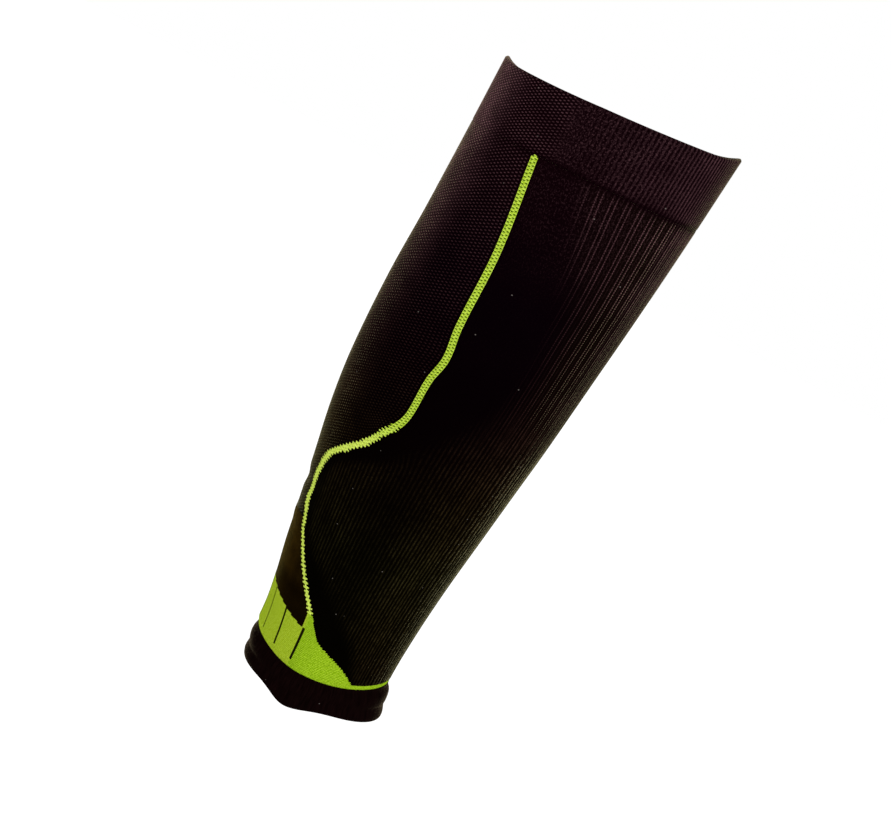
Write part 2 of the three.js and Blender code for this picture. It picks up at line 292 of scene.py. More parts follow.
# Rows of the rings. A rim's step counts as this many courses, and inside one face stands for several.
RIM_STEPS = 8
WELT_RIM_COURSES = 0.3
WELT_INNER_ROWS = 4
RING_ROWS = 3
RING_BULGE = 0.12
CUFF_ROWS = 27
CUFF_COURSES = 24
CUFF_RIM_COURSES = 0.5
CUFF_INNER_ROWS = 3

# Faces that meet at more than this angle keep a sharp edge between them.
SHARP_ANGLE = 60

# Smooth steps round and down the sleeve: where each starts and ends, then its values there. Those of an angle
# count it from the rear centre line to either side, and the others go by share of the length.
PLACE_STEPS = {
    # The first four rows paint highlights: the dots get lighter toward the rear crease, and the ribs toward
    # the front crease.
    "rear_painted_light": (52, 12, 1, 3.1),
    "welt_painted_light": (125, 168, 0.65, 1.5),
    "front_painted_light": (104, 152, 0.75, 2.1),
    "shin_painted_light": (95, 125, 0.75, 1.5),
    "front_to_shin": (0.6, 0.75, 0, 1),
    "shade_start": (0.18, 0.28, 0, 1),
    "shade_end": (0.44, 0.54, 1, 0),
    "shade_round": (110, 135, 0.5, 0),
    "low_side": (UPPER_RIBS_END, LOW_RIBS_START, 0, 0.6),
    "welt_ribs": (64, 150, 0, 1),
    "speckle_down": (0.12, 0.3, 0.5, 0.06),
    "pairs_round": (140, 165, 1, 0),
    "pairs_down": (0.3, 0.56, 1, 0.45),
    "seam_round": (35, 75, 0, 1),
    "dots_down": (CALF_PANEL_END - 0.012, CALF_PANEL_END + 0.004, 1, 0),
    "teeth_down": (0.5, 0.56, 0, 1),
}

# The ribs are fainter about this angle of the low side.
LOW_SIDE_ANGLE = 88
LOW_SIDE_HALF_ANGLE = 17

# Share of the welt's speckles that its ribs take the place of.
RIBS_HIDE_SPECKLES = 0.6

# Colours of the dark yarns by share of the length: between the dots and ribs, and what the raised yarn adds.
# Both get lighter toward the top, partly painted light falling from above and partly the welt's looser knit.
DARK_GROUND = [
    (0.08, (0.0026, 0.0002, 0.0009)),
    (0.3, (0.0011, 0.0001, 0.0008)),
    (0.55, (0.0007, 0.0001, 0.0003)),
    (0.75, (0.0004, 0.0003, 0.0001)),
]
BROWN_GROUND = (0.0018, 0.0008, 0.0002, 1)
BROWN_SHARE = 0.45
# What the raised yarn adds is partly a lighter yarn and partly a painted highlight on the relief.
DARK_RAISED = [
    (0.02, (0.0450, 0.0205, 0.0240)),
    (0.18, (0.0310, 0.0140, 0.0160)),
    (0.3, (0.0165, 0.0070, 0.0078)),
    (0.44, (0.0094, 0.0038, 0.0036)),
    (0.6, (0.0104, 0.0064, 0.0024)),
    (0.75, (0.0110, 0.0092, 0.0030)),
    (0.95, (0.0090, 0.0060, 0.0022)),
]

# Colours of the lime yarn from between the stitches to their tops: on the flanks and the ring, on the pale
# block, on the stripe, and where the stripe has left its column of stitches. The darker colours between the
# stitches and the lighter ones on their tops are painted shade and highlight of the stitches' relief.
LIME_SHADES = [
    (0.1, (0.09, 0.17, 0.0005)),
    (0.45, (0.27, 0.5, 0.002)),
    (1.0, (0.5, 0.72, 0.045)),
]
PALE_LIME_SHADES = [
    (0.1, (0.17, 0.27, 0.001)),
    (0.45, (0.33, 0.47, 0.01)),
    (1.0, (0.53, 0.69, 0.06)),
]
STRIPE_SHADES = [
    (0.1, (0.1, 0.16, 0.0005)),
    (0.4, (0.37, 0.56, 0.006)),
    (1.0, (0.68, 0.88, 0.14)),
]
LOW_STRIPE_SHADES = [
    (0.1, (0.24, 0.34, 0.012)),
    (0.4, (0.58, 0.74, 0.07)),
    (1.0, (0.78, 0.95, 0.2)),
]

# Other colours: for the jersey and the cuff, between the stitches and on their tops. Part of the step between
# them is painted shade and highlight of the stitches' relief.
JERSEY_COLOURS = (0.0012, 0.0005, 0.0001, 1), (0.052, 0.028, 0.0035, 1)
CUFF_COLOURS = (0.0008, 0.0002, 0.0002, 1), (0.0044, 0.0015, 0.0014, 1)
HOLE_COLOUR = (0.04, 0.09, 0.0005, 1)
LINE_COLOUR = (0.004, 0.004, 0.001, 1)
LINT_COLOUR = (0.2, 0.18, 0.16, 1)
FLOOR_COLOUR = (0.95, 0.95, 0.95, 1)

# How strongly the holes show: on the stripe, on its low part, on the flanks and on the pale block.
STRIPE_HOLES = 0.95
LOW_STRIPE_HOLES = 0.3
FLANK_HOLES = 0.7
BLOCK_HOLES = 0.35

# How light the parts of the knit are, how much a border darkens them, and the stitches' share of the relief.
# The light added past a dots' value of 1 is a painted highlight toward the rear crease, and the light of the
# stitches paints shade between their tops.
RIB_LIGHT = 1.25
PAINTED_REAR_HIGHLIGHT = 0.4
SPECKLE_LIGHT = 0.6
STITCH_LIGHT = 0.08
STITCH_BUMP = 0.3
BORDER_DARKNESS = 0.9
LIME_STITCH_LIGHT = 0.8
LIME_LEAST_LIGHT = 0.25
CUFF_STITCH_LIGHT = 0.25

# Lint: cells in a stitch, the share of the cells without a speck, and how strongly a speck shows.
LINT_SCALE = 0.16
CELLS_WITHOUT_LINT = 0.8
LINT_STRENGTH = 0.5

# Noise in the yarn: turns in a stitch and in a course, detail and roughness.
NOISES = {
    "dark_grain": (1.9, 1.9, 3.0, 0.75),
    "dark_cloud": (0.05, 0.05, 3.0, 0.6),
    "jersey_grain": (1.3, 1.3, 3.0, 0.75),
    "jersey_cloud": (0.06, 0.06, 3.0, 0.6),
    "lime_grain": (0.9, 0.9, 3.0, 0.75),
    "rib_breaks": (0.9, 0.25, 3.0, 0.7),
    "speckle": (1.5, 0.7, 1.0, 0.6),
    "streak": (0.9, 0.08, 3.0, 0.6),
}

# Smooth steps in the materials: the value at which each starts and ends, then what it gives there.
SHADE_STEPS = {
    "dot": (0.25, 0.8, 0, 1),
    "broad_rib": (-0.3, 0.9, 0, 0.54),
    "thin_rib": (0.4, 0.95, 0, 1),
    "pair": (-0.6, 0.2, 0.1, 1),
    "bead": (-0.7, 0.7, 0.35, 1),
    "low_rib": (-0.4, 0.9, 0, 0.7),
    "low_ribs": (UPPER_RIBS_END, LOW_RIBS_START, 0, 1),
    "rib_breaks": (0.35, 0.65, 0.3, 1.3),
    "speckle": (0.5, 0.7, 0, 1),
    "dark_grain": (0.35, 0.65, 0.1, 2),
    "dark_cloud": (0.3, 0.7, 0.7, 1.3),
    "jersey_grain": (0.3, 0.7, 0.3, 1.7),
    "jersey_cloud": (0.3, 0.7, 0.6, 1.3),
    # The jersey gets lighter toward the rear crease: a painted highlight.
    "jersey_rear_highlight": (10, 50, 1.2, 0.35),
    "jersey_end": (0.83, 0.87, 1, 0.4),
    "stripe_hole": (0.1, 0.6, 0, 1),
    "ankle_hole": (0.5, 0.9, 0, 1),
    "stripe_turns_pale": (0.53, STRIPE_IS_FREE, 0, 1),
    "lime_grain": (0.3, 0.7, 0.5, 1.5),
    "streak": (0.2, 0.85, 0, 1),
    "lint": (0.075, 0.035, 0, 1),
}

# Fabrics: roughness, sheen, roughness and tint of the sheen, and depth of the relief within the stitches.
FABRICS = {
    "dark_knit": (0.9, 0.38, 0.18, (1.0, 0.94, 0.5, 1), 0.1),
    "pin_dot_knit": (0.9, 0.7, 0.18, (1.0, 0.94, 0.5, 1), 0.1),
    "dark_jersey": (0.9, 0.2, 0.16, (1.0, 0.86, 0.25, 1), 0.05),
    "lime_knit": (0.85, 0.06, 0.3, (1.0, 1.0, 0.1, 1), 0.2),
    "cuff_knit": (0.85, 0.3, 0.2, (1.0, 0.8, 0.5, 1), 0.1),
}

# Sockets of the Mix node, for numbers and for colours.
NUMBER_FACTOR, NUMBER_A, NUMBER_B, NUMBER_RESULT = 0, 2, 3, 0
COLOUR_FACTOR, COLOUR_A, COLOUR_B, COLOUR_RESULT = 0, 6, 7, 2

# Cloths by node: flat width and length, the cloth that it is knitted to, and the narrow pieces knitted into
# it.
SHEETS = {
    "top_welt": (370, 42, "calf_panel", []),
    "calf_panel": (160, 216, "top_welt", []),
    "achilles_panel": (112, 50, "calf_panel", []),
    "front_panel": (262, 276, "top_welt", ["stripe_right", "stripe_left"]),
    "ankle_panel": (102, 27, "achilles_panel", []),
    "ankle_flank_right": (38, 28, "ankle_panel", []),
    "ankle_flank_left": (38, 28, "ankle_panel", []),
    "bottom_cuff": (248, 24, "ankle_panel", ["ankle_ring"]),
}

# Camera, in the sleeve's frame.
CAMERA_PLACE = (-860, 12.5, 116)
CAMERA_AIM = (0, 2.6, -46)
CAMERA_ROLL = 28.05
CAMERA_LENS = 70
CAMERA_SENSOR = 36
CAMERA_NEAR = 50
CAMERA_FAR = 100000

# Light: an even white room, and one soft sun.
ROOM_LIGHT = 1.0
SUN_STRENGTH = 1.2
SUN_SPREAD = 40
SUN_DIRECTION = (0.75, 0.45, -0.6)

# The floor lies this far below the sleeve.
FLOOR_DROP = 520
FLOOR_SIZE = 20000


def read_table(rows, column, at):
    """A table's column at some places, on a smooth curve through the rows and straight beyond them."""
    down = rows[:, 0]
    value = rows[:, column]
    last = len(rows) - 1
    low = np.maximum(np.arange(last + 1) - 1, 0)
    high = np.minimum(np.arange(last + 1) + 1, last)
    slope = (value[high] - value[low]) / (down[high] - down[low])
    i = np.clip(np.searchsorted(down, at, side="right") - 1, 0, last - 1)
    span = down[i + 1] - down[i]
    x = np.clip((at - down[i]) / span, 0, 1)
    rise = (value[i + 1] - value[i]) * x * x * (3 - 2 * x)
    leave = x * (1 - x) ** 2 * span * slope[i]
    arrive = x * x * (x - 1) * span * slope[i + 1]
    beyond = slope[0] * np.minimum(at - down[0], 0) + slope[last] * np.maximum(at - down[last], 0)
    return value[i] + rise + leave + arrive + beyond


def mix(a, b, share):
    return a + (b - a) * share


def smooth_step(low, high, x):
    """A smooth step of x from 0 at low to 1 at high."""
    share = np.clip((x - low) / (high - low), 0, 1)
    return share * share * (3 - 2 * share)


def place_step(name, at):
    """A row of PLACE_STEPS, read at some angles or shares of the length."""
    start, end, start_value, end_value = PLACE_STEPS[name]
    return mix(start_value, end_value, smooth_step(start, end, at))


def hump(x):
    """A smooth hump of height 1 at zero, about 1 wide to either side."""
    return np.exp(-(x**2))


def wave(value, period, start=0):
    """Cosine of value, 1 at start and after each period."""
    return np.cos(2 * math.pi * (value - start) / period)


def centred(angle):
    """The angle brought to between -180 and 180."""
    return (angle + 180) % 360 - 180


def cosine_of(angle):
    return np.cos(np.radians(angle))


def column_angle(column):
    """Angle of a line of stitches where the lines are even."""
    return column * 360 / STITCHES_ROUND


def fold_press(angle, down):
    """How far the folds press the outer face inward."""
    behind = np.abs(centred(angle))
    press = 0
    for level, share, half_height, half_angle in FOLDS:
        around = np.cos(np.clip(behind / half_angle, 0, 1) * math.pi / 2) ** 2
        along = np.cos(np.clip(np.abs(down - level) / half_height, 0, 1) * math.pi / 2) ** 2
        press = press + share * FOLD_DEPTH * around * along
    return press


def tube_points(angle, depth, inset):
    """Points of the tube, at an inset from its outer face."""
    angle, depth, inset = np.broadcast_arrays(angle, depth, inset)
    down = depth / SLEEVE_LENGTH
    cut = inset + fold_press(angle, down)
    cosine = cosine_of(angle)
    rear = CALF_REAR_REACH * read_table(SECTIONS, REAR, down) - cut - WIDEST_BEHIND_AXIS
    front = CALF_FRONT_REACH * read_table(SECTIONS, FRONT, down) - cut + WIDEST_BEHIND_AXIS
    side = CALF_HALF_WIDTH * read_table(SECTIONS, SIDE, down) - cut
    y = WIDEST_BEHIND_AXIS + np.where(cosine > 0, rear, front) * cosine
    return np.stack([-side * np.sin(np.radians(angle)), y, CALF_LEVEL - depth], axis=-1)


def length_per_degree(angle, depth):
    half_degree = 0.5
    step = tube_points(angle + half_degree, depth, 0) - tube_points(angle - half_degree, depth, 0)
    return np.linalg.norm(step, axis=-1)


def edge_depth(angle, rear_depth, front_rise, side_dip):
    """Depth of an edge that runs round the tube."""
    cosine = cosine_of(angle)
    return rear_depth - front_rise * (1 - cosine) / 2 + side_dip * (1 - cosine**2)


def front_share(angle):
    return (1 - cosine_of(angle)) / 2


def top_edge(angle):
    peak = TOP_PEAK * cosine_of(angle) ** TOP_PEAK_SHARPNESS
    return edge_depth(angle, 0, TOP_FRONT_RISE, TOP_SIDE_DIP) - peak


def welt_seam(angle):
    return edge_depth(angle, WELT_REAR_HEIGHT, WELT_REAR_HEIGHT + TOP_FRONT_RISE - WELT_FRONT_HEIGHT, 0)


def cuff_seam(angle):
    return edge_depth(angle, SLEEVE_LENGTH - CUFF_TOP_ABOVE_END, CUFF_TOP_FRONT_RISE, CUFF_TOP_SIDE_DIP)


def cuff_edge(angle):
    lobe = CUFF_LOBE * hump((np.abs(centred(angle)) - CUFF_LOBE_ANGLE) / CUFF_LOBE_HALF_ANGLE)
    return edge_depth(angle, SLEEVE_LENGTH + CUFF_HANG, CUFF_EDGE_FRONT_RISE, 0) + lobe


def ring_seam(angle):
    return cuff_seam(angle) - RING_HEIGHT


def ankle_panel_top(angle):
    rear_share = cosine_of(angle) ** 2
    return ring_seam(angle) - mix(ANKLE_PANEL_SIDE_HEIGHT, ANKLE_PANEL_REAR_HEIGHT, rear_share)


def beside(course, depth, distance):
    """Angle of a line beside a course of angles, at a distance square to the course."""
    angle = course(depth)
    per_degree = length_per_degree(angle, depth)
    turn = (course(depth + 1) - angle) * per_degree
    return angle + distance * np.hypot(1, turn) / per_degree


def stripe_middle(depth):
    return read_table(STRIPE_PATH, STRIPE_ANGLE, depth / SLEEVE_LENGTH)


def stripe_edge(depth, side):
    """Angle of the stripe's edge. side is 1 for the edge toward the shin and -1 for the other."""
    half_width = STRIPE_WIDTH * read_table(STRIPE_PATH, STRIPE_SHARE, depth / SLEEVE_LENGTH) / 2
    return beside(stripe_middle, depth, side * half_width)


def flank_front(depth):
    """Angle of the flank's front edge."""
    start = stripe_edge(FLANK_TOP_DEPTH, 1)
    foot = ring_seam(start + FLANK_REACH_ANGLE)
    share = (depth - FLANK_TOP_DEPTH) / (foot - FLANK_TOP_DEPTH)
    return start + FLANK_REACH_ANGLE * read_table(FLANK_EDGE, FLANK_FORWARD, share)


def rear_line(depth):
    return stripe_edge(np.minimum(depth, FLANK_TOP_DEPTH), -1)


def front_line(depth):
    return np.where(depth < FLANK_TOP_DEPTH, stripe_edge(depth, 1), flank_front(depth))


def stripe_shift(behind, depth):
    """How far the lines of stitches are moved to follow the stripe at a depth, in degrees."""
    low = column_angle(STRIPE_COLUMN - STRIPE_HALF_COLUMNS)
    high = column_angle(STRIPE_COLUMN + STRIPE_HALF_COLUMNS)
    low_shift = stripe_edge(depth, -1) - low
    high_shift = stripe_edge(depth, 1) - high
    across = np.clip((behind - low) / (high - low), 0, 1)
    fade_behind = smooth_step(0, low, behind)
    fade_before = 1 - smooth_step(high, 180, behind)
    return mix(low_shift, high_shift, across) * np.where(behind < low, fade_behind, fade_before)


def stitch_angle(column, depth):
    """Angle of a line of stitches, which follows the stripes' edges down to where the stripes leave it."""
    base = column_angle(column)
    turned = centred(base)
    behind = np.abs(turned)
    down = depth / SLEEVE_LENGTH
    below_welt = np.maximum(depth, WELT_REAR_HEIGHT)
    steady = np.minimum(below_welt, LINES_TURN * SLEEVE_LENGTH)
    held = 1 - smooth_step(STRIPE_LEAVES_COLUMNS, STRIPE_IS_FREE, down)
    turned_back = 1 - smooth_step(LINES_TURN, LINES_ARE_EVEN, down)
    from_stripe = np.abs(behind * STITCHES_ROUND / 360 - STRIPE_COLUMN)
    shift = mix(
        stripe_shift(behind, below_welt) * held,
        stripe_shift(behind, steady) * turned_back,
        smooth_step(NEAR_STRIPE, FAR_FROM_STRIPE, from_stripe),
    )
    around = np.sin(math.pi * np.clip(behind / ANKLE_SPREAD_REACH, 0, 1))
    below = np.clip((depth - ANKLE_SPREAD_TOP) / ANKLE_SPREAD_HEIGHT, 0, ANKLE_SPREAD_MOST)
    return base + np.sign(turned) * (shift + ANKLE_SPREAD * around * below)


def course_levels():
    """Shares of the way from the welt's seam to the ring's, at which the courses lie."""
    depth = WELT_REAR_HEIGHT
    depths = [depth]
    end = SLEEVE_LENGTH - CUFF_TOP_ABOVE_END - RING_HEIGHT
    while depth < end:
        depth += float(read_table(COURSE_HEIGHTS, COURSE_HEIGHT, np.array(depth / SLEEVE_LENGTH)))
        depths.append(depth)
    if len(depths) % 2 == 0:
        depths.append(depth + depths[-1] - depths[-2])
    levels = np.array(depths) - depths[0]
    return levels / levels[-1]


def rib_strength(angle, depth):
    """How clearly the ribs show, from 0 to 1."""
    down = depth / SLEEVE_LENGTH
    start = read_table(RIB_START, RIB_ANGLE, down)
    blur = read_table(RIB_START, RIB_BLUR, down)
    return smooth_step(0, 1, (np.abs(centred(angle)) - start) / blur)


def dot_strength(angle, depth):
    """How clearly the pin dots show, from 0 to 1."""
    in_welt = depth < welt_seam(angle)
    limit = np.where(in_welt, WELT_DOTS_END, stripe_middle(np.maximum(depth, WELT_REAR_HEIGHT)))
    fade = np.where(in_welt, WELT_DOTS_FADE, BODY_DOTS_FADE)
    around = 1 - smooth_step(0, 1, (np.abs(centred(angle)) - limit) / fade)
    return around * place_step("dots_down", depth / SLEEVE_LENGTH)


def dark_relief(column, row, angle, depth):
    """Height of the dark knit's dots and ribs above the outer face."""
    in_welt = depth < welt_seam(angle)
    dots = wave(column, DOT_COLUMNS) * wave(row, DOT_COURSES)
    single = (1 + wave(column, RIB_COLUMNS, RIB_CREST)) / 2
    pairs = np.clip((1 + wave(column, PAIR_COLUMNS, PAIR_CREST)) / PAIR_CUT, 0, 1)
    ribs = single * np.where(in_welt, WELT_RIB_SHARE, mix(LONE_RIB_SHARE, 1, pairs))
    strength = np.where(in_welt, 1 - dot_strength(angle, depth), rib_strength(angle, depth))
    return DOT_RELIEF * dots * dot_strength(angle, depth) + RIB_RELIEF * ribs * strength


def lime_relief(column, row, angle, depth):
    return LIME_RELIEF * wave(column, LIME_COLUMNS) * wave(row, LIME_COURSES)


def no_relief(column, row, angle, depth):
    return np.zeros_like(angle)


class Lattice:
    """The stitches of the body, between the welt and the ring: one cell for each stitch."""

    def __init__(self):
        levels = course_levels()
        column, self.row = np.meshgrid(np.arange(STITCHES_ROUND), np.arange(len(levels)), indexing="ij")
        base = column_angle(column)
        self.depth = mix(welt_seam(base), ring_seam(base), levels[self.row])
        self.angle = stitch_angle(column, self.depth)

    def cell_middles(self):
        """Angle from -180 to 180 and depth of each stitch's middle."""
        right = np.roll(self.angle, -1, axis=0)
        right[-1] += 360
        across = self.angle + (right - self.angle) / 2
        middle = (across[:, :-1] + across[:, 1:]) / 2
        depth = (self.depth[:, :-1] + self.depth[:, 1:]) / 2
        depth = (depth + np.roll(depth, -1, axis=0)) / 2
        return centred(middle), depth

    def zones(self):
        """Name of the piece that each stitch belongs to."""
        angle, depth = self.cell_middles()
        behind = np.abs(angle)
        rear = rear_line(depth)
        front = front_line(depth)
        end = np.clip((depth - welt_seam(angle)) / STRIPE_END_ROUNDING, 0, 1)
        cut = (front - rear) / 2 * (1 - np.sqrt(1 - (1 - end) ** 2)) * STRIPE_END_NARROWING
        teeth = TOOTH * place_step("teeth_down", depth / SLEEVE_LENGTH) * (depth < FLANK_TOP_DEPTH)
        tooth = teeth * (self.row[:, :-1] % 2 - 0.5) / length_per_degree(angle, depth)
        rear = rear + cut + tooth
        front = front - cut + tooth
        side = np.where(angle > 0, "_right", "_left")
        zone = np.full(angle.shape, "front_panel", dtype="<U20")
        coloured = (behind >= rear) & (behind < front)
        zone[coloured] = np.where(depth < FLANK_TOP_DEPTH, "stripe", "ankle_flank")[coloured]
        zone[coloured] = np.char.add(zone[coloured], side[coloured])
        within = behind < rear
        zone[within] = "calf_panel"
        zone[within & (depth >= CALF_PANEL_END * SLEEVE_LENGTH)] = "achilles_panel"
        zone[within & (depth >= ankle_panel_top(angle))] = "ankle_panel"
        return zone


def side_faces(inside, joined):
    """Corners (column, row) of a zone's faces on one side. Where joined, pairs of courses share a face."""
    faces = []
    single = inside
    if joined:
        pairs = inside[:, 0::2] & inside[:, 1::2]
        single = inside & ~np.repeat(pairs, 2, axis=1)
        for i, k in np.argwhere(pairs):
            top, middle, bottom = 2 * k, 2 * k + 1, 2 * k + 2
            left = [] if pairs[i - 1, k] else [(i, middle)]
            right = [] if pairs[(i + 1) % len(pairs), k] else [(i + 1, middle)]
            faces.append([(i, top), *left, (i, bottom), (i + 1, bottom), *right, (i + 1, top)])
    for i, j in np.argwhere(single):
        faces.append([(i, j), (i, j + 1), (i + 1, j + 1), (i + 1, j)])
    return faces


def rim_edges(inside):
    """Edges (from, to) round a zone, with the zone on their left as seen from outside."""
    left = inside & ~np.roll(inside, 1, axis=0)
    right = inside & ~np.roll(inside, -1, axis=0)
    above = inside.copy()
    above[:, 1:] &= ~inside[:, :-1]
    below = inside.copy()
    below[:, :-1] &= ~inside[:, 1:]
    edges = [((i, j), (i, j + 1)) for i, j in np.argwhere(left)]
    edges += [((i, j + 1), (i + 1, j + 1)) for i, j in np.argwhere(below)]
    edges += [((i + 1, j + 1), (i + 1, j)) for i, j in np.argwhere(right)]
    edges += [((i + 1, j), (i, j)) for i, j in np.argwhere(above)]
    return edges


def make_mesh(name, points, faces, loop_uv, values):
    """A mesh object from points in millimetres. values are numbers at each point, by name."""
    mesh = bpy.data.meshes.new(name)
    mesh.from_pydata((points * METRES).tolist(), [], faces)
    layer = mesh.uv_layers.new(name="knit")
    layer.data.foreach_set("uv", np.array(loop_uv, np.float32).ravel())
    for key, value in values.items():
        attribute = mesh.attributes.new(key, "FLOAT", "POINT")
        attribute.data.foreach_set("value", np.asarray(value, np.float32))
    mesh.shade_smooth()
    mesh.set_sharp_from_angle(angle=math.radians(SHARP_ANGLE))
    mesh.validate()
    piece = bpy.data.objects.new(name, mesh)
    bpy.context.scene.collection.objects.link(piece)
    return piece


def front_painted_light(behind, down, in_welt):
    """How light the ribs are, from the side round to the front: a painted highlight toward the front crease, a
    band of painted shade on the side, and fainter ribs about the low side.
    """
    to_shin = place_step("front_to_shin", down)
    body = mix(place_step("front_painted_light", behind), place_step("shin_painted_light", behind), to_shin)
    painted_light = np.where(in_welt, place_step("welt_painted_light", behind), body)
    shade = place_step("shade_start", down) * place_step("shade_end", down)
    low_side = hump((behind - LOW_SIDE_ANGLE) / LOW_SIDE_HALF_ANGLE) * place_step("low_side", down)
    return painted_light * (1 - shade * place_step("shade_round", behind)) * (1 - low_side)


def dark_border(angle, depth):
    """1 on the dark stitches along the lime and at the welt's seam, fading to 0 beside them."""
    behind = np.abs(centred(angle))
    body = np.maximum(depth, WELT_REAR_HEIGHT)
    off_lime = np.minimum(np.abs(behind - rear_line(body)), np.abs(behind - front_line(body)))
    beside_lime = np.clip(1 - off_lime * length_per_degree(angle, depth) / BORDER_WIDTH, 0, 1)
    seam = hump((depth - welt_seam(angle)) / WELT_BAND) * place_step("seam_round", behind)
    return np.maximum(beside_lime * (depth > welt_seam(angle)), seam)


def knit_values(angle, depth):
    """What the materials read at each point: where the dots, ribs, dark borders and levels are. The dots and
    ribs also carry painted highlights, lighter toward the rear and front creases.
    """
    behind = np.abs(centred(angle))
    down = depth / SLEEVE_LENGTH
    in_welt = depth < welt_seam(angle)
    dots = dot_strength(angle, depth)
    welt_ribs = (1 - dots) * place_step("welt_ribs", behind)
    ribs = np.where(in_welt, welt_ribs, rib_strength(angle, depth))
    speckles = np.where(in_welt, 1 - RIBS_HIDE_SPECKLES * welt_ribs, place_step("speckle_down", down))
    pairs = place_step("pairs_round", behind) * place_step("pairs_down", down)
    return {
        "dots": dots * place_step("rear_painted_light", behind),
        "ribs": ribs * front_painted_light(behind, down, in_welt),
        "plain": (1 - dots) * speckles,
        "pairs": np.where(in_welt, 0.0, pairs),
        "border": dark_border(angle, depth),
        "level": down,
        "above_ring": ring_seam(angle) - depth,
    }


def zone_piece(lattice, inside, name, relief, joined_outside):
    """One zone of the body as a closed wall, stepped stitch by stitch along its edges."""
    outer = side_faces(inside, joined_outside)
    inner = side_faces(inside, True)
    ids = {}
    corners = []

    def point_id(column, row, layer):
        key = (int(column) % STITCHES_ROUND, int(row), layer)
        if key not in ids:
            ids[key] = len(corners)
            corners.append(key)
        return ids[key]

    faces = []
    loop_uv = []

    def add(face):
        faces.append([point_id(*corner) for corner in face])
        loop_uv.extend((float(column), float(row)) for column, row, _ in face)

    for face in outer:
        add([(i, j, 0) for i, j in face])
    for face in inner:
        add([(i, j, 1) for i, j in reversed(face)])
    for start, end in rim_edges(inside):
        add([(*end, 0), (*start, 0), (*start, 1), (*end, 1)])
    column, row, layer = np.array(corners).T
    angle = lattice.angle[column, row]
    depth = lattice.depth[column, row]
    height = relief(column, row, angle, depth)
    inset = np.where(layer == 0, -height, KNIT_WALL)
    return make_mesh(name, tube_points(angle, depth, inset), faces, loop_uv, knit_values(angle, depth))


def ring_piece(name, outline):
    """A closed ring round the tube. outline gives arrays of angle, depth, inset and row, by column."""
    column = np.arange(STITCHES_ROUND)[:, None]
    angle, depth, inset, rows = outline(column)
    count = angle.shape[1]
    points = tube_points(angle, depth, inset).reshape(-1, 3)
    faces = []
    loop_uv = []
    for i in range(STITCHES_ROUND):
        here = i * count
        there = (i + 1) % STITCHES_ROUND * count
        for j in range(count):
            k = (j + 1) % count
            faces.append([here + j, here + k, there + k, there + j])
            end = rows[k] if k else rows[j] + 1
            loop_uv += [(i, rows[j]), (i, end), (i + 1, end), (i + 1, rows[j])]
    return make_mesh(name, points, faces, loop_uv, knit_values(angle.ravel(), depth.ravel()))


def rim_points(radius, away):
    """Offsets of depth and inset round a folded rim, from its outer face. away is -1 for the top rim."""
    turn = math.pi * np.arange(1, RIM_STEPS) / RIM_STEPS
    return -away * radius * (1 - np.sin(turn)), radius * (1 - np.cos(turn))


def welt_outline(column):
    courses = 2 * round(WELT_REAR_HEIGHT / COURSE_HEIGHTS[0, COURSE_HEIGHT] / 2)
    share = np.arange(courses + 1) / courses
    base = column_angle(column)
    start = top_edge(base) + WELT_WALL / 2
    outer_depth = mix(start, welt_seam(base), share)
    rows = np.arange(courses + 1) - courses
    angle = stitch_angle(column, outer_depth)
    groove = SEAM_GROOVE * hump((welt_seam(base) - outer_depth) / SEAM_GROOVE_HALF_HEIGHT)
    outer_inset = groove - dark_relief(column, rows, angle, outer_depth) - WELT_PROUD
    inner_share = share[::-WELT_INNER_ROWS]
    inner_depth = mix(start, welt_seam(base), inner_share)
    over, inward = rim_points(WELT_WALL / 2, -1)
    rim_depth = top_edge(base) + over[::-1]
    depth = np.concatenate([outer_depth, inner_depth, rim_depth], axis=1)
    inset = np.concatenate([
        outer_inset,
        np.full(inner_depth.shape, WELT_WALL),
        np.broadcast_to(inward[::-1], rim_depth.shape),
    ], axis=1)
    inner_rows = inner_share * courses - courses
    rim_rows = -courses - np.arange(len(over), 0, -1) * WELT_RIM_COURSES
    return stitch_angle(column, depth), depth, inset, np.concatenate([rows, inner_rows, rim_rows])


def ring_outline(column):
    base = column_angle(column)
    rows = np.arange(RING_ROWS + 1)
    share = rows / RING_ROWS
    outer_depth = mix(ring_seam(base), cuff_seam(base), share)
    waist = RING_WAIST * (1 - front_share(base)) * share
    bulge = RING_BULGE * np.sin(math.pi * share)
    depth = np.concatenate([outer_depth, outer_depth[:, ::-1]], axis=1)
    inset = np.concatenate([waist - bulge, waist[:, ::-1] + KNIT_WALL], axis=1)
    return stitch_angle(column, depth), depth, inset, np.concatenate([rows, rows[::-1]])


def cuff_outline(column):
    base = column_angle(column)
    share = np.linspace(0, 1, CUFF_ROWS + 1)
    step = mix(
        CUFF_REAR_REACH * read_table(CUFF_OUTLINE, CUFF_REAR, share),
        CUFF_FRONT_REACH * read_table(CUFF_OUTLINE, CUFF_FRONT, share),
        front_share(base),
    )
    start = cuff_seam(base)
    end = cuff_edge(base) - CUFF_WALL / 2
    rim_inset = -step[:, -1:]
    over, inward = rim_points(CUFF_WALL / 2, 1)
    inner_share = share[::-CUFF_INNER_ROWS]
    inner_inset = mix(KNIT_WALL - step[:, :1], rim_inset + CUFF_WALL, inner_share)
    depth = np.concatenate([
        mix(start, end, share),
        cuff_edge(base) + over,
        mix(start, end, inner_share),
    ], axis=1)
    inset = np.concatenate([-step, rim_inset + inward, inner_inset], axis=1)
    rows = np.concatenate([
        share * CUFF_COURSES,
        CUFF_COURSES + np.arange(1, len(over) + 1) * CUFF_RIM_COURSES,
        inner_share * CUFF_COURSES,
    ])
    return np.broadcast_to(base, depth.shape), depth, inset, rows


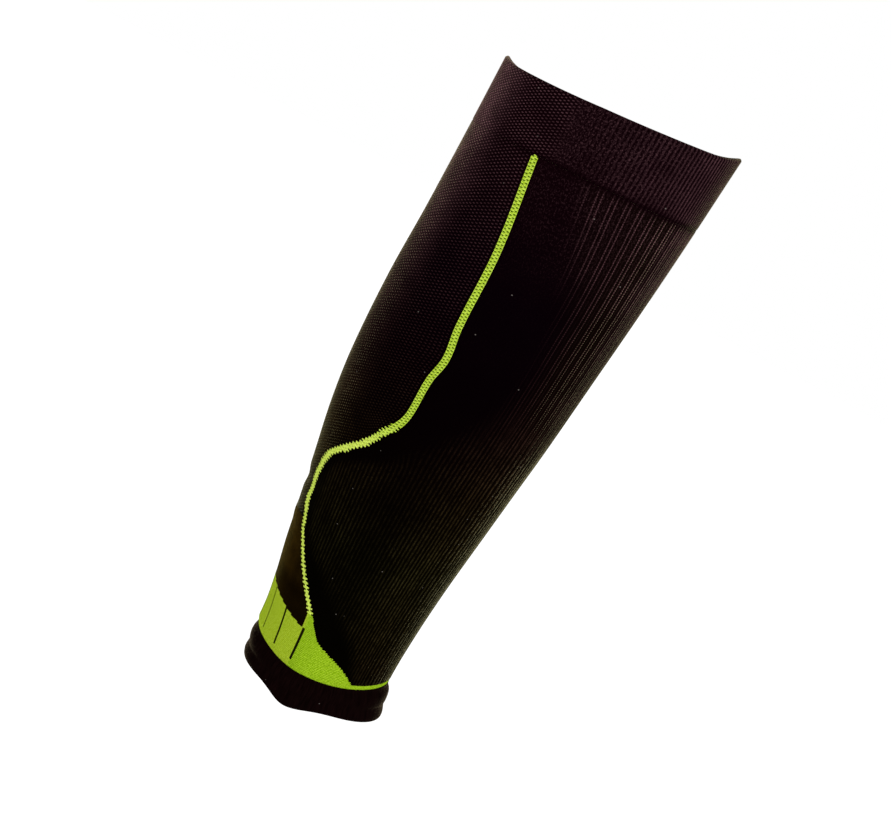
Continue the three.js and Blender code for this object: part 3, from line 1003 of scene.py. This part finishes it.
class Nodes:
    """Short calls that add and link the nodes of a material."""

    def __init__(self, name):
        self.name = name
        self.material = bpy.data.materials.new(name)
        self.material.use_nodes = True
        self.tree = self.material.node_tree
        self.shader = self.tree.nodes["Principled BSDF"]

    def add(self, kind, inputs=(), **settings):
        node = self.tree.nodes.new(kind)
        for key, value in settings.items():
            setattr(node, key, value)
        for key, value in dict(inputs).items():
            self.put(node.inputs[key], value)
        return node

    def put(self, socket, value):
        if isinstance(value, bpy.types.NodeSocket):
            self.tree.links.new(value, socket)
        else:
            socket.default_value = value

    def math(self, operation, a, b=0.0, c=0.0, clamp=False):
        node = self.add("ShaderNodeMath", {0: a, 1: b, 2: c}, operation=operation, use_clamp=clamp)
        return node.outputs[0]

    def product(self, first, *others):
        for other in others:
            first = self.math("MULTIPLY", first, other)
        return first

    def distance(self, a, b):
        """How far apart two numbers are."""
        return self.math("ABSOLUTE", self.math("SUBTRACT", a, b))

    def remap(self, value, low, high, to_low=0.0, to_high=1.0):
        """A smooth step of value from low to high."""
        inputs = {"Value": value, "From Min": low, "From Max": high, "To Min": to_low, "To Max": to_high}
        return self.add("ShaderNodeMapRange", inputs, interpolation_type="SMOOTHSTEP").outputs["Result"]

    def step(self, name, value):
        """A row of SHADE_STEPS, read at a value."""
        return self.remap(value, *SHADE_STEPS[name])

    def mix(self, share, a, b):
        """A colour between two."""
        inputs = {COLOUR_FACTOR: share, COLOUR_A: a, COLOUR_B: b}
        return self.add("ShaderNodeMix", inputs, data_type="RGBA").outputs[COLOUR_RESULT]

    def lerp(self, share, low, high):
        """A number between two."""
        inputs = {NUMBER_FACTOR: share, NUMBER_A: low, NUMBER_B: high}
        return self.add("ShaderNodeMix", inputs, data_type="FLOAT").outputs[NUMBER_RESULT]

    def brighten(self, ground, raised, light):
        """The ground's colour plus light times the raised yarn's."""
        scaled = self.add("ShaderNodeVectorMath", {0: raised, "Scale": light}, operation="SCALE").outputs[0]
        return self.add("ShaderNodeVectorMath", {0: ground, 1: scaled}, operation="ADD").outputs[0]

    def ramp(self, value, stops):
        """A colour that follows value through stops of (value, colour)."""
        node = self.add("ShaderNodeValToRGB", {0: value})
        marks = node.color_ramp.elements
        while len(marks) < len(stops):
            marks.new(0.5)
        for mark, (place, colour) in zip(marks, stops):
            mark.position = place
            mark.color = (*colour, 1)
        return node.outputs[0]

    def attribute(self, name):
        return self.add("ShaderNodeAttribute", attribute_name=name).outputs["Fac"]

    def stitches(self):
        """The knit's coordinates, and from them the column of stitches and the course."""
        uv = self.add("ShaderNodeUVMap", uv_map="knit").outputs["UV"]
        parts = self.add("ShaderNodeSeparateXYZ", {0: uv})
        return uv, parts.outputs["X"], parts.outputs["Y"]

    def from_rear(self, column):
        """Stitches from the rear centre line, on either side."""
        half = STITCHES_ROUND / 2
        return self.math("SUBTRACT", half, self.distance(column, half))

    def wave(self, value, period, start=0.0):
        """Cosine of value, 1 at start and after each period."""
        turned = self.math("MULTIPLY", self.math("SUBTRACT", value, start), 2 * math.pi / period)
        return self.math("COSINE", turned)

    def noise(self, name, uv):
        """A row of NOISES."""
        across, along, detail, roughness = NOISES[name]
        stretch = self.add("ShaderNodeVectorMath", {0: uv, 1: (across, along, 1)}, operation="MULTIPLY")
        inputs = {"Vector": stretch.outputs[0], "Scale": 1.0, "Detail": detail, "Roughness": roughness}
        return self.add("ShaderNodeTexNoise", inputs).outputs["Fac"]

    def noise_step(self, name, uv):
        """A row of NOISES, brought to the range of the same row of SHADE_STEPS."""
        return self.step(name, self.noise(name, uv))

    def set_shader(self, values):
        """Sets or links the shader's own sockets, by name."""
        for name, value in values.items():
            self.put(self.shader.inputs[name], value)

    def with_lint(self, uv, yarn):
        """The yarn's colour with sparse specks of lint on it."""
        cells = self.add("ShaderNodeTexVoronoi", {"Vector": uv, "Scale": LINT_SCALE, "Randomness": 1.0})
        draw = self.add("ShaderNodeSeparateXYZ", {0: cells.outputs["Color"]}).outputs[0]
        chosen = self.math("GREATER_THAN", draw, CELLS_WITHOUT_LINT)
        speck = self.product(self.step("lint", cells.outputs["Distance"]), chosen, LINT_STRENGTH)
        return self.mix(speck, yarn, LINT_COLOUR)

    def finish(self, colour, height):
        """Gives the shader a colour, the relief within the stitches and the fabric's row of FABRICS."""
        roughness, sheen, sheen_roughness, sheen_tint, relief = FABRICS[self.name]
        bump = self.add("ShaderNodeBump", {"Height": height, "Distance": relief * METRES, "Strength": 1.0})
        self.set_shader({
            "Base Color": colour,
            "Normal": bump.outputs["Normal"],
            "Roughness": roughness,
            "Specular IOR Level": 0,
            "Sheen Weight": sheen,
            "Sheen Roughness": sheen_roughness,
            "Sheen Tint": sheen_tint,
        })
        return self.material


def loops(nodes, column, row):
    """Height of plain knit: in each stitch two legs that meet at the bottom."""
    across = nodes.distance(nodes.math("FRACT", column), STITCH_MIDDLE)
    legs = nodes.math("SINE", nodes.math("MULTIPLY", across, 2 * math.pi))
    slanted = nodes.math("ADD", row, across)
    rungs = nodes.math("ABSOLUTE", nodes.math("SINE", nodes.math("MULTIPLY", slanted, math.pi)))
    return nodes.product(legs, rungs)


def dark_ribs(nodes, uv, column, row, pairs, level):
    """How light the ribs are: pairs of beaded lines or broad ribs above, and broken lines below."""
    rib = nodes.wave(column, RIB_COLUMNS, RIB_CREST)
    pair = nodes.step("pair", nodes.wave(column, PAIR_COLUMNS, PAIR_CREST))
    beads = nodes.step("bead", nodes.wave(row, BEAD_COURSES))
    thin = nodes.product(nodes.step("thin_rib", rib), pair, beads)
    upper = nodes.product(nodes.lerp(pairs, nodes.step("broad_rib", rib), thin), RIB_LIGHT)
    from_rear = nodes.from_rear(column)
    wide = nodes.math("GREATER_THAN", from_rear, WIDE_RIBS_START)
    low = nodes.lerp(wide, nodes.wave(from_rear, LOW_RIB_COLUMNS), nodes.wave(from_rear, WIDE_RIB_COLUMNS))
    lower = nodes.product(nodes.step("low_rib", low), nodes.noise_step("rib_breaks", uv))
    return nodes.lerp(nodes.step("low_ribs", level), upper, lower)


def dark_knit(name):
    nodes = Nodes(name)
    uv, column, row = nodes.stitches()
    dots = nodes.attribute("dots")
    ribs = nodes.attribute("ribs")
    pairs = nodes.attribute("pairs")
    level = nodes.attribute("level")
    dot = nodes.step("dot", nodes.product(nodes.wave(column, DOT_COLUMNS), nodes.wave(row, DOT_COURSES)))
    rib = dark_ribs(nodes, uv, column, row, pairs, level)
    # Lighter on the dots and ribs: partly the knit's pattern, partly a painted highlight on their raised yarn.
    relief = nodes.math("ADD", nodes.product(dot, dots), nodes.product(rib, ribs))
    stitch = loops(nodes, column, row)
    grain = nodes.noise("dark_grain", uv)
    speckles = nodes.product(nodes.noise_step("speckle", uv), nodes.attribute("plain"))
    # Past 1, the dots' value is a painted highlight toward the rear crease, which lightens the knit further.
    rear_highlight = nodes.math("MAXIMUM", nodes.math("SUBTRACT", dots, 1.0), 0.0)
    light = nodes.math("MULTIPLY_ADD", rear_highlight, PAINTED_REAR_HIGHLIGHT, relief)
    light = nodes.math("MULTIPLY_ADD", speckles, SPECKLE_LIGHT, light)
    # Lighter on the stitches' tops and darker between them: painted highlight and shade of the stitches'
    # relief.
    light = nodes.math("MULTIPLY_ADD", nodes.product(stitch, grain), STITCH_LIGHT, light)
    cloud = nodes.noise_step("dark_cloud", uv)
    shown = nodes.math("SUBTRACT", 1.0, nodes.product(nodes.attribute("border"), BORDER_DARKNESS))
    light = nodes.product(light, nodes.step("dark_grain", grain), cloud, shown)
    brown = nodes.math("MULTIPLY", nodes.product(ribs, pairs), BROWN_SHARE, clamp=True)
    # The ramps by level are lighter toward the top, partly painted light falling from above.
    ground = nodes.mix(brown, nodes.ramp(level, DARK_GROUND), BROWN_GROUND)
    yarn = nodes.brighten(ground, nodes.ramp(level, DARK_RAISED), light)
    return nodes.finish(nodes.with_lint(uv, yarn), nodes.math("MULTIPLY_ADD", stitch, STITCH_BUMP, relief))


def dark_jersey():
    nodes = Nodes("dark_jersey")
    uv, column, row = nodes.stitches()
    stitch = loops(nodes, column, row)
    grain = nodes.noise_step("jersey_grain", uv)
    cloud = nodes.noise_step("jersey_cloud", uv)
    # Lighter toward the rear crease: a painted highlight.
    side = nodes.step("jersey_rear_highlight", nodes.from_rear(column))
    end = nodes.step("jersey_end", nodes.attribute("level"))
    # Lighter on the stitches' tops and darker between them: painted highlight and shade of the relief, with
    # grain and cloud in the yarn's tone.
    yarn = nodes.mix(nodes.product(stitch, grain, cloud, side, end), *JERSEY_COLOURS)
    return nodes.finish(nodes.with_lint(uv, yarn), stitch)


def ankle_lines(nodes, from_rear):
    """1 on the dark lines down the ankle."""
    above_ring = nodes.attribute("above_ring")
    line = 0.0
    for place, half_width, start in ANKLE_LINES:
        off = nodes.distance(from_rear, place)
        mark = nodes.remap(off, half_width + LINE_SOFTNESS, half_width - LINE_SOFTNESS)
        begun = nodes.math("LESS_THAN", above_ring, start)
        line = nodes.math("MAXIMUM", line, nodes.product(mark, begun))
    return nodes.product(line, nodes.math("GREATER_THAN", above_ring, ANKLE_LINES_STOP))


def lime_holes(nodes, column, row, low):
    """1 in the holes between the stitches, which are coarser on the stripes than on the ankle."""
    coarse = nodes.product(nodes.wave(column, DOT_COLUMNS, STRIPE_HOLE_CREST), nodes.wave(row, DOT_COURSES))
    across = nodes.wave(column, LIME_COLUMNS, STITCH_MIDDLE)
    fine = nodes.product(across, nodes.wave(row, LIME_COURSES, STITCH_MIDDLE))
    fine = nodes.step("ankle_hole", nodes.math("ABSOLUTE", fine))
    return nodes.lerp(low, nodes.step("stripe_hole", coarse), fine)


def lime_knit():
    nodes = Nodes("lime_knit")
    uv, column, row = nodes.stitches()
    from_rear = nodes.from_rear(column)
    level = nodes.attribute("level")
    crown = nodes.math("LESS_THAN", from_rear, BLOCK_CROWN)
    low = nodes.math("GREATER_THAN", nodes.math("MULTIPLY_ADD", crown, BLOCK_CROWN_RISE, level), FLANK_TOP)
    free = nodes.step("stripe_turns_pale", level)
    last_line = ANKLE_LINES[-1][0]
    block = nodes.remap(from_rear, last_line + PALE_BLOCK_SOFTNESS, last_line - PALE_BLOCK_SOFTNESS)
    pale = nodes.product(block, low)
    stitch = loops(nodes, column, row)
    # Lighter on the stitches' tops and darker between them: painted highlight and shade of the stitches'
    # relief.
    light = nodes.math("MULTIPLY_ADD", stitch, LIME_STITCH_LIGHT, LIME_LEAST_LIGHT)
    light = nodes.product(light, nodes.noise_step("lime_grain", uv))
    yarn = nodes.mix(free, nodes.ramp(light, STRIPE_SHADES), nodes.ramp(light, LOW_STRIPE_SHADES))
    yarn = nodes.mix(low, yarn, nodes.ramp(light, LIME_SHADES))
    yarn = nodes.mix(pale, yarn, nodes.ramp(light, PALE_LIME_SHADES))
    strength = nodes.lerp(free, STRIPE_HOLES, LOW_STRIPE_HOLES)
    strength = nodes.lerp(pale, nodes.lerp(low, strength, FLANK_HOLES), BLOCK_HOLES)
    yarn = nodes.mix(nodes.product(lime_holes(nodes, column, row, low), strength), yarn, HOLE_COLOUR)
    line = nodes.product(ankle_lines(nodes, from_rear), low)
    return nodes.finish(nodes.mix(line, yarn, LINE_COLOUR), stitch)


def cuff_knit():
    nodes = Nodes("cuff_knit")
    uv, column, row = nodes.stitches()
    streak = nodes.noise_step("streak", uv)
    # Lighter on the stitches' tops: painted highlight and shade of the relief, added to the streaks in the
    # yarn's tone.
    light = nodes.math("MULTIPLY_ADD", loops(nodes, column, row), CUFF_STITCH_LIGHT, streak)
    yarn = nodes.mix(light, *CUFF_COLOURS)
    return nodes.finish(nodes.with_lint(uv, yarn), light)


def add_camera():
    place = Vector(CAMERA_PLACE) * METRES
    ahead = (Vector(CAMERA_AIM) * METRES - place).normalized()
    right = ahead.cross(Vector((0, 0, 1))).normalized()
    up = right.cross(ahead)
    turn = math.radians(CAMERA_ROLL)
    rolled_right = right * math.cos(turn) + up * math.sin(turn)
    rolled_up = up * math.cos(turn) - right * math.sin(turn)
    camera = bpy.data.objects.new("camera", bpy.data.cameras.new("camera"))
    bpy.context.scene.collection.objects.link(camera)
    turned = Matrix((rolled_right, rolled_up, -ahead)).transposed()
    camera.matrix_world = Matrix.Translation(place) @ turned.to_4x4()
    camera.data.lens = CAMERA_LENS
    camera.data.sensor_width = CAMERA_SENSOR
    camera.data.clip_start = CAMERA_NEAR * METRES
    camera.data.clip_end = CAMERA_FAR * METRES
    bpy.context.scene.camera = camera


def add_light():
    scene = bpy.context.scene
    scene.view_settings.view_transform = "Standard"
    scene.view_settings.look = "None"
    world = bpy.data.worlds.new("white_room")
    world.use_nodes = True
    background = world.node_tree.nodes["Background"]
    background.inputs["Color"].default_value = (1, 1, 1, 1)
    background.inputs["Strength"].default_value = ROOM_LIGHT
    scene.world = world
    sun = bpy.data.objects.new("key", bpy.data.lights.new("key", "SUN"))
    sun.data.energy = SUN_STRENGTH
    sun.data.angle = math.radians(SUN_SPREAD)
    sun.rotation_mode = "QUATERNION"
    sun.rotation_quaternion = Vector(SUN_DIRECTION).to_track_quat("-Z", "Y")
    scene.collection.objects.link(sun)


def add_floor():
    """A plain pale floor, well below the sleeve, which is shown held up as on a leg."""
    half = FLOOR_SIZE / 2 * METRES
    level = (CALF_LEVEL - SLEEVE_LENGTH - FLOOR_DROP) * METRES
    corners = [(-half, -half, level), (half, -half, level), (half, half, level), (-half, half, level)]
    mesh = bpy.data.meshes.new("floor")
    mesh.from_pydata(corners, [], [(0, 1, 2, 3)])
    floor = bpy.data.objects.new("floor", mesh)
    bpy.context.scene.collection.objects.link(floor)
    nodes = Nodes("floor_paper")
    nodes.set_shader({"Base Color": FLOOR_COLOUR, "Roughness": 1, "Specular IOR Level": 0})
    mesh.materials.append(nodes.material)


def declare_sheets(pieces):
    for name, (width, length, neighbour, on_it) in SHEETS.items():
        on_it = [pieces[other] for other in on_it]


def dress(piece, node, material):
    piece.data.materials.append(material)
    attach(piece, "root")
    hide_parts(node)
    return piece


def main():
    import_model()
    add_camera()
    add_light()
    add_floor()
    dark = dark_knit("dark_knit")
    pin_dot = dark_knit("pin_dot_knit")
    jersey = dark_jersey()
    lime = lime_knit()
    cuff = cuff_knit()
    lattice = Lattice()
    zones = lattice.zones()
    looks = {
        "front_panel": (dark, "dark_knit", dark_relief, True),
        "calf_panel": (pin_dot, "dark_knit", dark_relief, False),
        "achilles_panel": (jersey, "dark_jersey", no_relief, False),
    }
    pieces = {}
    for name in np.unique(zones):
        material, slot, relief, joined = looks.get(name, (lime, "lime_knit", lime_relief, False))
        piece = zone_piece(lattice, zones == name, f"{name}_knit", relief, joined)
        pieces[str(name)] = dress(piece, str(name), material)
    rings = {
        "top_welt": (welt_outline, dark, "dark_knit"),
        "ankle_ring": (ring_outline, lime, "lime_knit"),
        "bottom_cuff": (cuff_outline, cuff, "dark_knit"),
    }
    for name, (outline, material, slot) in rings.items():
        pieces[name] = dress(ring_piece(f"{name}_knit", outline), name, material)
    declare_sheets(pieces)


main()
